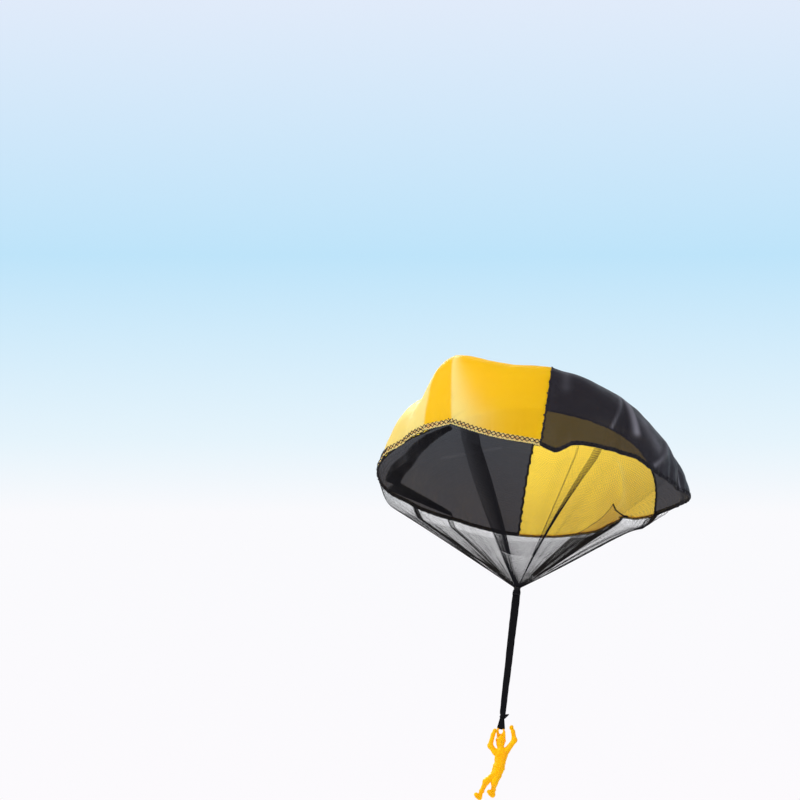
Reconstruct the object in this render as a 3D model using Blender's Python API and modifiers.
"""Hand-thrown toy parachute.

Four cloth panels are sewn into a pillow-shaped canopy. A net skirt hangs from its rim and is gathered
into one strap, and a moulded figure hangs on the strap by the ring on its head. The crown of the canopy
is the origin, +Z is up, +X is to the viewer's right and the viewer stands at -Y. Lengths are in metres.
A turn is measured in degrees from the front of the canopy (-Y) towards its right side (+X).
"""

import math

import bmesh
import bpy
from mathutils import Matrix, Vector

MM = 0.001

# Clearance between pieces that touch on the real toy
GAP = 0.3 * MM

# Canopy
CANOPY_RADIUS = 176 * MM
CANOPY_RISE = 97 * MM
CLOTH = 0.4 * MM
PANEL_TIP_RADIUS = 3.4 * MM
PANEL_COLUMNS, PANEL_ROWS = 18, 16

# Seams and hems, as folded cloth
SEAM_WIDTH = 3.2 * MM
SEAM_THICKNESS = 1.4 * MM
SIDE_SEAM_GAP = 0.7 * MM
SEAM_COLUMNS = 2
HEM_HEIGHT = 4.0 * MM
HEM_THICKNESS = 1.2 * MM

# Net skirt
NET_DEPTH = 117 * MM
NET_DROOP = 9 * MM
NET_FOLD = 7 * MM
NET_CLOTH = 0.3 * MM
NET_COLUMNS, NET_ROWS = PANEL_COLUMNS // 2, 8
NET_BUNCH_RADIUS = 20 * MM
NET_TAIL_RADIUS = 2.6 * MM
NET_BUNCH_WALL = 1.0 * MM
BUNCH_PLEATS = 16

# Ribbon wrap round the gathered net
HANG_X = -6.2 * MM
WRAP_RADIUS = 4.2 * MM
WRAP_HEIGHT = 6.5 * MM
WRAP_CORNER = 0.4 * MM

# Strap
HEAD_RADIUS = 3.5 * MM
STRAP_WIDTH_TOP = 8.6 * MM
STRAP_WIDTH_END = 6.2 * MM
STRAP_THICKNESS = 0.7 * MM
STRAP_LENGTH = 127.1 * MM
STRAP_CUP = 0.4 * MM

# Knot, its tail and the loop below it
KNOT_RADIUS = 3.0 * MM
KNOT_RIBBON = 0.7 * MM
KNOT_BULGE = 0.2 * MM
KNOT_LEAN = 35
TAIL_REACH = 4.8 * MM
TAIL_RISE = 5.2 * MM
TAIL_WIDTH = 3.4 * MM
LOOP_DROP = 16.4 * MM
LOOP_THICKNESS = 0.6 * MM
LOOP_WIDTH_TOP = 5.0 * MM
LOOP_WIDTH_FLARE = 8.4 * MM
LOOP_WIDTH_UNDER = 3.2 * MM

# Figure, measured down from the ring on its head
RING_RADIUS = 3.5 * MM
RING_BAR = 1.0 * MM
FIGURE_HEIGHT = 78 * MM
SHOULDER_SPAN = 15 * MM
CHEST_DEPTH = 9 * MM
LIMB_RADIUS = 2.8 * MM

# The rim and the profile above it, for each turn: rim radius as a share of CANOPY_RADIUS, rim lift as a
# share of CANOPY_RADIUS, squareness of the profile, and shoulder lift as a share of CANOPY_RISE
RING_SHARES = (
    (0, 1.005, -0.013, 11.61, -0.014),
    (6, 0.970, -0.020, 9.00, -0.020),
    (12, 1.025, 0.025, 7.63, -0.022),
    (22, 1.030, 0.029, 5.00, -0.035),
    (33, 1.045, 0.027, 3.53, -0.012),
    (45, 1.045, -0.026, 2.70, -0.012),
    (60, 1.026, -0.027, 2.16, -0.002),
    (78, 1.003, 0.000, 1.85, 0.000),
    (90, 0.945, 0.019, 2.10, 0.000),
    (103, 0.820, -0.015, 2.70, 0.000),
    (118, 0.795, 0.000, 3.20, 0.000),
    (137, 0.855, 0.045, 3.20, 0.000),
    (155, 0.940, 0.010, 3.30, 0.000),
    (184, 1.010, 0.000, 3.60, 0.000),
    (205, 0.960, 0.000, 3.40, 0.000),
    (230, 0.960, 0.000, 2.80, 0.000),
    (252, 1.000, 0.000, 2.20, 0.000),
    (282, 1.035, 0.000, 1.50, -0.028),
    (298, 1.047, -0.002, 2.62, 0.032),
    (310, 1.032, 0.057, 3.00, 0.128),
    (321, 1.025, 0.093, 8.04, 0.195),
    (326, 1.019, 0.110, 12.00, 0.124),
    (329, 1.015, 0.096, 10.35, 0.120),
    (338, 1.010, 0.044, 9.36, 0.048),
    (347, 1.005, 0.009, 9.47, 0.006),
)

# Soft folds of the cloth: turn, spread in degrees, depth as a share of CANOPY_RADIUS, first share of the
# profile that it reaches
FOLD_SHARES = (
    (7, 3.5, 0.030, 0.70),
    (30, 3.5, 0.028, 0.35),
    (63, 4.0, 0.030, 0.45),
    (128, 5.0, 0.025, 0.60),
    (160, 6.0, 0.018, 0.55),
    (212, 6.0, 0.020, 0.50),
    (240, 6.0, 0.018, 0.55),
    (304, 4.0, 0.016, 0.40),
)

# Turn of each seam at the crown and at the rim
SEAM_TURNS = {"front": (2.5, 0.4), "right": (101, 104), "back": (183, 184), "left": (276, 279)}

YELLOW = (0.86, 0.50, 0.01, 1)
BLACK = (0.022, 0.019, 0.024, 1)
FIGURE_YELLOW = (0.90, 0.55, 0.01, 1)


# Scene and materials


def clear_scene():
    for obj in list(bpy.data.objects):
        bpy.data.objects.remove(obj, do_unlink=True)


def collection(name):
    made = bpy.data.collections.new(name)
    bpy.context.scene.collection.children.link(made)
    return made


def material(name, colour, roughness):
    made = bpy.data.materials.new(name)
    made.use_nodes = True
    shader = made.node_tree.nodes["Principled BSDF"]
    shader.inputs["Base Color"].default_value = colour
    shader.inputs["Roughness"].default_value = roughness
    shader.inputs["Metallic"].default_value = 0.0
    return made


def add_object(name, mesh, finish, parent):
    """A new part, placed by its parent empty: its mesh is given in world places."""
    made = bpy.data.objects.new(name, mesh)
    mesh.materials.append(finish)
    mesh.shade_smooth()
    PARTS.objects.link(made)
    made.parent = parent
    made.matrix_parent_inverse = parent.matrix_world.inverted()
    return made


def pivot(name, place, parent=None):
    """An empty on a joint's axis, which carries what moves with it."""
    made = bpy.data.objects.new(name, None)
    PARTS.objects.link(made)
    made.matrix_world = Matrix.Translation(place)
    if parent:
        made.parent = parent
        made.matrix_parent_inverse = parent.matrix_world.inverted()
    bpy.context.view_layer.update()
    return made


def mesh_of(name, bm):
    bmesh.ops.recalc_face_normals(bm, faces=bm.faces)
    mesh = bpy.data.meshes.new(name)
    bm.to_mesh(mesh)
    bm.free()
    return mesh


# Forms


def sheet(name, place, columns, rows, thickness, finish, parent, closed=False):
    """A sheet of cloth: a grid whose point (across, along), each from 0 to 1, goes to place."""
    bm = bmesh.new()
    bmesh.ops.create_grid(bm, x_segments=columns, y_segments=rows, size=0.5)
    for vert in bm.verts:
        vert.co = place(vert.co.x + 0.5, vert.co.y + 0.5)
    bmesh.ops.remove_doubles(bm, verts=bm.verts, dist=GAP / 100)
    if closed:
        bmesh.ops.holes_fill(bm, edges=bm.edges)
    made = add_object(name, mesh_of(name, bm), finish, parent)
    solid = made.modifiers.new("Thickness", "SOLIDIFY")
    solid.thickness = thickness
    solid.offset = 0
    return made


def turned(name, profile, sides, finish, parent, centre, ripple=0.0, ripple_from=0.0):
    """A profile of (radius, height) spun round the vertical through centre. ripple pleats it."""
    bm = bmesh.new()
    verts = [bm.verts.new((radius, 0, height)) for radius, height in profile]
    ends_on_axis = profile[0][0] == 0 and profile[-1][0] == 0
    last = len(verts) - 1 if ends_on_axis else len(verts)
    edges = [bm.edges.new((verts[i], verts[(i + 1) % len(verts)])) for i in range(last)]
    bmesh.ops.spin(
        bm, geom=verts + edges, cent=(0, 0, 0), axis=(0, 0, 1), angle=math.tau, steps=sides
    )
    bmesh.ops.remove_doubles(bm, verts=bm.verts, dist=GAP / 100)
    for vert in bm.verts:
        flat = Vector((vert.co.x, vert.co.y, 0))
        if flat.length > ripple_from:
            step = round(math.atan2(flat.y, flat.x) / (math.tau / sides))
            grown = 1 + ripple * (1 if step % 2 else -1)
            vert.co.x, vert.co.y = flat.x * grown, flat.y * grown
    bmesh.ops.translate(bm, verts=bm.verts, vec=centre)
    return add_object(name, mesh_of(name, bm), finish, parent)


def ball(bm, centre, radii, detail=2, turn=None):
    """An ellipsoid, added to bm. radii are its half sizes along X, Y and Z, and turn a rotation."""
    stretch = Matrix.Diagonal((*radii, 1))
    place = Matrix.Translation(centre) @ (turn or Matrix()) @ stretch
    return bmesh.ops.create_icosphere(bm, subdivisions=detail, radius=1, matrix=place)["verts"]


def hull(name, balls):
    """The convex solid round some ellipsoids, as a helper object for joined()."""
    round_ones = bmesh.new()
    for centre, radii in balls:
        ball(round_ones, centre, radii)
    bm = bmesh.new()
    for vert in round_ones.verts:
        bm.verts.new(vert.co)
    round_ones.free()
    made = bmesh.ops.convex_hull(bm, input=bm.verts)
    bmesh.ops.delete(bm, geom=list({*made["geom_interior"], *made["geom_unused"]}), context="VERTS")
    return helper(name, mesh_of(name, bm))


def torus(name, major, minor, place, around, section):
    """A ring of round bar, as a helper object for joined()."""
    bpy.ops.mesh.primitive_torus_add(
        major_segments=around, minor_segments=section, major_radius=major, minor_radius=minor
    )
    made = bpy.context.object
    mesh = made.data
    mesh.transform(place)
    bpy.data.objects.remove(made)
    return helper(name, mesh)


def helper(name, mesh):
    """An object that only shapes another: left out of the render and drawn as a wire."""
    made = bpy.data.objects.new(name, mesh)
    CUTTERS.objects.link(made)
    made.hide_render = True
    made.display_type = "WIRE"
    return made


def joined(name, solids, finish, parent):
    """One solid from several that cross, by Boolean unions."""
    base = helper(name + "_base", solids[0].data)
    for other in solids[1:]:
        union = base.modifiers.new(other.name, "BOOLEAN")
        union.operation = "UNION"
        union.solver = "EXACT"
        union.object = other
    bpy.context.view_layer.update()
    graph = bpy.context.evaluated_depsgraph_get()
    mesh = bpy.data.meshes.new_from_object(base.evaluated_get(graph))
    for used in [base, *solids]:
        bpy.data.objects.remove(used)
    bm = bmesh.new()
    bm.from_mesh(mesh)
    bmesh.ops.remove_doubles(bm, verts=bm.verts, dist=GAP / 10)
    bmesh.ops.dissolve_degenerate(bm, edges=bm.edges, dist=GAP / 10)
    return add_object(name, mesh_of(name, bm), finish, parent)


# The canopy's surface


def ring_value(turn, column):
    """A column of RING_SHARES at any turn, on a smooth closed curve through its rows."""
    count = len(RING_SHARES)
    turn %= 360
    before = max(i for i in range(count) if RING_SHARES[i][0] <= turn)
    rows = [divmod(before + step, count) for step in (-1, 0, 1, 2)]
    turns = [RING_SHARES[i][0] + 360 * lap for lap, i in rows]
    values = [RING_SHARES[i][column] for lap, i in rows]
    width = turns[2] - turns[1]
    slope_in = (values[2] - values[0]) / (turns[2] - turns[0]) * width
    slope_out = (values[3] - values[1]) / (turns[3] - turns[1]) * width
    t = (turn - turns[1]) / width
    return (
        (2 * t**3 - 3 * t**2 + 1) * values[1]
        + (t**3 - 2 * t**2 + t) * slope_in
        + (3 * t**2 - 2 * t**3) * values[2]
        + (t**3 - t**2) * slope_out
    )


def smooth_step(value):
    value = min(max(value, 0), 1)
    return value * value * (3 - 2 * value)


def fold_depth(turn, share):
    """How far the cloth is drawn in by its folds."""
    depth = 0
    for middle, spread, depth_share, first in FOLD_SHARES:
        away = (turn - middle + 180) % 360 - 180
        depth += depth_share * math.exp(-((away / spread) ** 2)) * smooth_step((share - first) / (1 - first))
    return depth * CANOPY_RADIUS


def canopy_point(turn, share):
    """A point of the canopy, from the crown at share 0 to the rim at share 1."""
    squareness = ring_value(turn, 3)
    angle = share * math.pi / 2
    reach = (math.sin(angle) ** squareness + math.cos(angle) ** squareness) ** (-1 / squareness)
    out, up = math.sin(angle) * reach, math.cos(angle) * reach
    rim_lift = ring_value(turn, 2) * CANOPY_RADIUS * out**4
    top = CANOPY_RISE * (1 + ring_value(turn, 4) * out**2)
    radius = ring_value(turn, 1) * CANOPY_RADIUS * out - fold_depth(turn, share)
    height = rim_lift + (top - rim_lift) * up - CANOPY_RISE
    side = math.radians(turn)
    return Vector((radius * math.sin(side), -radius * math.cos(side), height))


def flat_radius(point):
    return math.hypot(point.x, point.y)


def share_near_crown(turn, distance):
    """The share of the profile that lies this far out from the crown."""
    return distance / (ring_value(turn, 1) * CANOPY_RADIUS) / (math.pi / 2)


def share_over_rim(distance):
    """The share of the profile that lies this far above the rim."""
    return 1 - distance / CANOPY_RISE / (math.pi / 2)


def seam_turn(seam, share):
    at_crown, at_rim = SEAM_TURNS[seam]
    return at_crown + (at_rim - at_crown) * share


def between_seams(first, last, across, share):
    """The turn of a point across a panel, whose edges keep clear of the seams beside it."""
    start, end = seam_turn(first, share), seam_turn(last, share)
    end += 360 if end < start else 0
    clear = SEAM_WIDTH / 2 + GAP
    start += math.degrees(math.asin(clear / flat_radius(canopy_point(start, share))))
    end -= math.degrees(math.asin(clear / flat_radius(canopy_point(end, share))))
    return start + (end - start) * across


PANELS = (
    ("front_right", "front", "right", "black"),
    ("back_right", "right", "back", "yellow"),
    ("back_left", "back", "left", "black"),
    ("front_left", "left", "front", "yellow"),
)


def make_panels(finishes, parent):
    for place, first, last, colour in PANELS:

        def cloth(across, along, first=first, last=last):
            tip = share_near_crown(between_seams(first, last, across, 1), PANEL_TIP_RADIUS)
            share = tip + (share_over_rim(HEM_HEIGHT + GAP) - tip) * along
            return canopy_point(between_seams(first, last, across, share), share)

        def hem(across, along, first=first, last=last):
            share = 1 - (1 - share_over_rim(HEM_HEIGHT)) * along
            return canopy_point(between_seams(first, last, across, share), share)

        name = f"canopy_panel_{place}"
        sheet(name, cloth, PANEL_COLUMNS, PANEL_ROWS, CLOTH, finishes[colour], parent)
        sheet(f"hem_{place}", hem, PANEL_COLUMNS, 1, HEM_THICKNESS, finishes[colour], parent)


def seam_side(turn):
    side = math.radians(turn)
    return Vector((math.cos(side), math.sin(side), 0))


def make_seams(finish, parent):
    def long_seam(across, along):
        half = 2 * along - 1
        seam = "front" if half < 0 else "back"
        turn = seam_turn(seam, abs(half))
        side = seam_side(turn) * (1 if half < 0 else -1)
        return canopy_point(turn, abs(half)) + side * (across - 0.5) * SEAM_WIDTH

    sheet("seam_front_to_back", long_seam, SEAM_COLUMNS, 2 * PANEL_ROWS, SEAM_THICKNESS, finish, parent)
    for seam in ("right", "left"):
        start = share_near_crown(seam_turn(seam, 0), SEAM_WIDTH / 2 + SIDE_SEAM_GAP)

        def side_seam(across, along, seam=seam):
            share = start + (1 - start) * along
            turn = seam_turn(seam, share)
            return canopy_point(turn, share) + seam_side(turn) * (across - 0.5) * SEAM_WIDTH

        sheet(f"seam_{seam}", side_seam, SEAM_COLUMNS, PANEL_ROWS, SEAM_THICKNESS, finish, parent)


# The net

GATHER = Vector((HANG_X, 0, -CANOPY_RISE - NET_DEPTH))
NET_END_SHARE = 1 - NET_BUNCH_RADIUS / CANOPY_RADIUS
DROOP_AT_SHARE = 0.12


def net_point(turn, share, across):
    """A point of the net, from the rim at share 0 to the gather at share 1, folded out at a gore's edges."""
    rim = canopy_point(turn, 1)
    rim.z -= GAP + NET_CLOTH + HEM_THICKNESS / 4
    droop = NET_DROOP * share / DROOP_AT_SHARE * math.exp(1 - share / DROOP_AT_SHARE)
    fold = NET_FOLD * math.cos(math.tau * across) * math.sin(math.pi * share)
    out = Vector((rim.x, rim.y, 0)).normalized()
    return rim.lerp(GATHER, share) + out * fold - Vector((0, 0, droop))


def make_net(finish, parent):
    """The skirt's fine mesh is one thin cloth here, in two gores under each panel."""
    for panel, (place, first, last, colour) in enumerate(PANELS):
        for half in (0, 1):

            def cloth(across, along, first=first, last=last, half=half):
                share = NET_END_SHARE * along
                over = (half + across) / 2
                turn = between_seams(first, last, over, 1)
                if over < 0.5 / PANEL_COLUMNS:
                    turn = seam_turn(first, 1)
                if over > 1 - 0.5 / PANEL_COLUMNS:
                    turn = seam_turn(last, 1)
                clear = (NET_CLOTH + GAP) / 2 / flat_radius(net_point(turn, share, across) - GATHER)
                if across < 0.5 / NET_COLUMNS:
                    turn += math.degrees(clear)
                if across > 1 - 0.5 / NET_COLUMNS:
                    turn -= math.degrees(clear)
                return net_point(turn, share, across)

            name = f"net_gore_{2 * panel + half + 1}"
            sheet(name, cloth, NET_COLUMNS, NET_ROWS, NET_CLOTH, finish, parent)


def make_gather(net_finish, ribbon_finish, parent):
    """The bunched end of the net, and the ribbon that is wrapped round it."""
    top = net_point(0, NET_END_SHARE, 0).z - NET_CLOTH - GAP
    neck, bottom = GATHER.z, GATHER.z - WRAP_HEIGHT
    profile = (
        (0, bottom),
        (NET_TAIL_RADIUS, bottom),
        (NET_TAIL_RADIUS, neck + GAP),
        (NET_BUNCH_RADIUS / 2, neck + (top - neck) / 2 - NET_BUNCH_WALL),
        (NET_BUNCH_RADIUS, top - NET_BUNCH_WALL / 2),
        (NET_BUNCH_RADIUS - NET_BUNCH_WALL, top),
        (NET_BUNCH_RADIUS / 2, neck + (top - neck) / 2 + NET_BUNCH_WALL / 2),
        (0, neck + 2 * NET_BUNCH_WALL),
    )
    axis = Vector((HANG_X, 0, 0))
    turned("net_gather", profile, 2 * BUNCH_PLEATS, net_finish, parent, axis, 0.08, NET_TAIL_RADIUS + GAP)
    inner = NET_TAIL_RADIUS + GAP
    sleeve = (
        (inner, neck - WRAP_CORNER),
        (inner + WRAP_CORNER, neck),
        (WRAP_RADIUS - WRAP_CORNER, neck),
        (WRAP_RADIUS, neck - WRAP_CORNER),
        (WRAP_RADIUS, bottom + WRAP_CORNER),
        (WRAP_RADIUS - WRAP_CORNER, bottom),
        (inner, bottom),
    )
    turned("gather_wrap", sleeve, 24, ribbon_finish, parent, axis)


# The strap

HEAD_CENTRE = Vector((HANG_X, 0, GATHER.z - WRAP_HEIGHT - GAP - HEAD_RADIUS))
STRAP_TOP = HEAD_CENTRE.z - HEAD_RADIUS - GAP
STRAP_END = STRAP_TOP - STRAP_LENGTH
KNOT_CENTRE = Vector((HANG_X, 0, STRAP_END - GAP - KNOT_RADIUS))
RING_CENTRE = KNOT_CENTRE - Vector((0, 0, LOOP_DROP))


def make_strap_head(finish, parent):
    """The fold of ribbon at the top of the strap, round so that the strap can swing under it."""
    bm = bmesh.new()
    bmesh.ops.create_uvsphere(
        bm, u_segments=20, v_segments=12, radius=HEAD_RADIUS, matrix=Matrix.Translation(HEAD_CENTRE)
    )
    add_object("strap_head", mesh_of("strap_head", bm), finish, parent)


def make_strap_runs(finish, parent):
    """The ribbon is doubled: one run hangs in front of the other."""
    for name, side in (("strap_front_run", -1), ("strap_back_run", 1)):

        def run(across, along, side=side):
            width = STRAP_WIDTH_TOP + (STRAP_WIDTH_END - STRAP_WIDTH_TOP) * along
            cup = STRAP_CUP * (2 * across - 1) ** 2
            depth = side * (STRAP_THICKNESS + GAP) / 2 - cup
            return Vector((HANG_X + (across - 0.5) * width, depth, STRAP_TOP - STRAP_LENGTH * along))

        sheet(name, run, 4, 12, STRAP_THICKNESS, finish, parent)


def make_knot(finish, parent):
    """An overhand knot: two crossed turns of ribbon round a tight middle, and one short tail."""
    bm = bmesh.new()
    ball(bm, KNOT_CENTRE, (KNOT_RADIUS, KNOT_RADIUS, KNOT_RADIUS))
    solids = [helper("knot_core", mesh_of("knot_core", bm))]
    for lean in (-1, 1):
        wound = Matrix.Translation(KNOT_CENTRE) @ Matrix.Rotation(math.radians(KNOT_LEAN * lean), 4, "Y")
        major = KNOT_RADIUS + KNOT_BULGE - KNOT_RIBBON
        solids.append(torus(f"knot_turn_{lean}", major, KNOT_RIBBON, wound, 20, 6))
    joined("strap_knot", solids, finish, parent)

    def tail(across, along):
        start = KNOT_CENTRE + Vector((KNOT_RADIUS + GAP + STRAP_THICKNESS / 2, 0, -TAIL_WIDTH / 4))
        width = TAIL_WIDTH * (1 - along / 3)
        lift = (across - 0.5) * width
        lean = Vector((-lift / 2, 0, lift)) if along > 0 else Vector((0, 0, lift))
        return start + Vector((TAIL_REACH * along, 0, TAIL_RISE * along**2)) + lean

    sheet("strap_tail", tail, 3, 5, STRAP_THICKNESS, finish, parent)


def make_loop(finish, parent):
    """The ribbon's loop: down in front of the ring's bar, under it and up again behind."""
    bend = RING_BAR + GAP + LOOP_THICKNESS / 2
    clear = KNOT_RADIUS + GAP
    top = LOOP_DROP - math.sqrt(clear**2 - (bend - LOOP_THICKNESS / 2) ** 2)
    round_bar_share = 0.3

    def band(across, along):
        fold = abs(2 * along - 1)
        side = -1 if along < 0.5 else 1
        under = min(fold / round_bar_share, 1)
        angle = under * math.pi / 2
        width = LOOP_WIDTH_UNDER + (LOOP_WIDTH_FLARE - LOOP_WIDTH_UNDER) * under**2
        round_ring = (across - 0.5) * width / RING_RADIUS
        radius = RING_RADIUS - bend * math.cos(angle)
        lowest = Vector((radius * math.sin(round_ring), side * bend * math.sin(angle), radius * math.cos(round_ring)))
        highest = Vector(((across - 0.5) * LOOP_WIDTH_TOP, side * bend, top))
        up = max(0, (fold - round_bar_share) / (1 - round_bar_share))
        return RING_CENTRE + lowest.lerp(highest, up)

    sheet("strap_loop", band, 4, 20, LOOP_THICKNESS, finish, parent)


# The figure

# Places as shares of FIGURE_HEIGHT, from the lower bar of the ring: X right, Y back, Z up
BODY_SHARES = {
    "head": (0.006, 0.004, -0.082),
    "neck": (0.023, 0.004, -0.188),
    "chest": (0.047, 0.004, -0.291),
    "waist": (0.037, 0.004, -0.458),
    "hips": (0.011, 0.004, -0.568),
    "left_shoulder": (-0.042, 0.004, -0.263),
    "left_elbow": (-0.137, -0.013, -0.184),
    "left_wrist": (-0.098, -0.048, -0.018),
    "left_hand": (-0.082, -0.053, 0.020),
    "right_shoulder": (0.117, 0.004, -0.222),
    "right_elbow": (0.226, -0.013, -0.062),
    "right_wrist": (0.186, -0.048, 0.060),
    "right_hand": (0.166, -0.053, 0.102),
    "left_hip": (-0.028, 0.004, -0.601),
    "left_knee": (-0.155, -0.038, -0.726),
    "left_ankle": (-0.159, 0.066, -0.920),
    "left_heel": (-0.144, 0.079, -0.965),
    "left_toe": (-0.223, 0.025, -0.954),
    "right_hip": (0.042, 0.004, -0.603),
    "right_knee": (0.012, -0.043, -0.729),
    "right_ankle": (0.009, 0.056, -0.854),
    "right_heel": (0.034, 0.068, -0.901),
    "right_toe": (-0.046, 0.015, -0.877),
}

# Each limb: its two places, and its radius at each as a share of LIMB_RADIUS
LIMB_SHARES = (
    ("left_shoulder", "left_elbow", 1.15, 1.00),
    ("left_elbow", "left_wrist", 1.00, 0.75),
    ("left_wrist", "left_hand", 0.80, 0.95),
    ("right_shoulder", "right_elbow", 1.15, 1.00),
    ("right_elbow", "right_wrist", 1.00, 0.75),
    ("right_wrist", "right_hand", 0.80, 0.95),
    ("left_hip", "left_knee", 1.50, 1.20),
    ("left_knee", "left_ankle", 1.20, 0.90),
    ("left_heel", "left_toe", 1.05, 0.95),
    ("left_ankle", "left_heel", 0.90, 1.05),
    ("right_hip", "right_knee", 1.50, 1.20),
    ("right_knee", "right_ankle", 1.20, 0.90),
    ("right_heel", "right_toe", 1.05, 0.95),
    ("right_ankle", "right_heel", 0.90, 1.05),
)


def body_point(name):
    return RING_CENTRE - Vector((0, 0, RING_RADIUS)) + Vector(BODY_SHARES[name]) * FIGURE_HEIGHT


def make_figure(finish, parent):
    """The moulded figure, in one piece with the ring on its head."""
    half, deep = SHOULDER_SPAN / 2, CHEST_DEPTH / 2
    torso = {
        "chest": (half, deep, 0.75 * half),
        "waist": (0.74 * half, 0.82 * deep, 0.6 * half),
        "hips": (0.86 * half, 0.95 * deep, 0.6 * half),
    }
    neck_radius = 1.1 * LIMB_RADIUS
    limb_ends = {first: (wide * LIMB_RADIUS,) * 3 for first, last, wide, narrow in LIMB_SHARES}
    sizes = {**limb_ends, **torso, "neck": (neck_radius,) * 3}
    solids = [
        hull(name, [(body_point(part), sizes[part]) for part in parts])
        for name, parts in (
            ("upper_torso", ("chest", "waist", "left_shoulder", "right_shoulder")),
            ("lower_torso", ("waist", "hips", "left_hip", "right_hip")),
            ("neck_root", ("neck", "chest")),
        )
    ]
    head = 0.075 * FIGURE_HEIGHT
    jaw = body_point("head") - Vector((0, 0.12 * head, 0.55 * head))
    solids.append(hull("head", [(body_point("head"), (0.86 * head,) * 3), (jaw, (0.66 * head,) * 3)]))
    brim = body_point("head") + Vector((0, 0, 0.22 * head))
    solids.append(hull("helmet", [(brim, (0.98 * head, 1.08 * head, 0.85 * head))]))
    for first, last, wide, narrow in LIMB_SHARES:
        ends = [(body_point(first), (wide * LIMB_RADIUS,) * 3), (body_point(last), (narrow * LIMB_RADIUS,) * 3)]
        solids.append(hull(f"{first}_to_{last}", ends))
    upright = Matrix.Translation(RING_CENTRE) @ Matrix.Rotation(math.pi / 2, 4, "X")
    solids.append(torus("head_ring", RING_RADIUS, RING_BAR, upright, 24, 8))
    joined("figure", solids, finish, parent)


# Assembly


def main():
    finishes = {
        "yellow": material("yellow_cloth", YELLOW, 0.45),
        "black": material("black_cloth", BLACK, 0.45),
        "trim": material("black_thread", BLACK, 0.85),
        "net": material("black_net", BLACK, 0.8),
        "ribbon": material("black_ribbon", BLACK, 0.7),
        "figure": material("yellow_plastic", FIGURE_YELLOW, 0.4),
    }
    canopy = pivot("canopy_crown", Vector((0, 0, 0)))
    fore_aft = pivot("strap_fore_aft_axis", HEAD_CENTRE, canopy)
    side = pivot("strap_side_axis", HEAD_CENTRE, fore_aft)
    twist = pivot("strap_twist_axis", KNOT_CENTRE, side)
    tilt = pivot("loop_tilt_axis", KNOT_CENTRE, twist)
    swing = pivot("figure_swing_axis", RING_CENTRE, tilt)
    make_panels(finishes, canopy)
    make_seams(finishes["trim"], canopy)
    make_net(finishes["net"], canopy)
    make_gather(finishes["net"], finishes["ribbon"], canopy)
    make_strap_head(finishes["ribbon"], fore_aft)
    make_strap_runs(finishes["ribbon"], side)
    make_knot(finishes["ribbon"], twist)
    make_loop(finishes["ribbon"], tilt)
    make_figure(finishes["figure"], swing)


clear_scene()
PARTS = collection("toy_parachute")
CUTTERS = collection("helpers")
CUTTERS.hide_render = True
main()
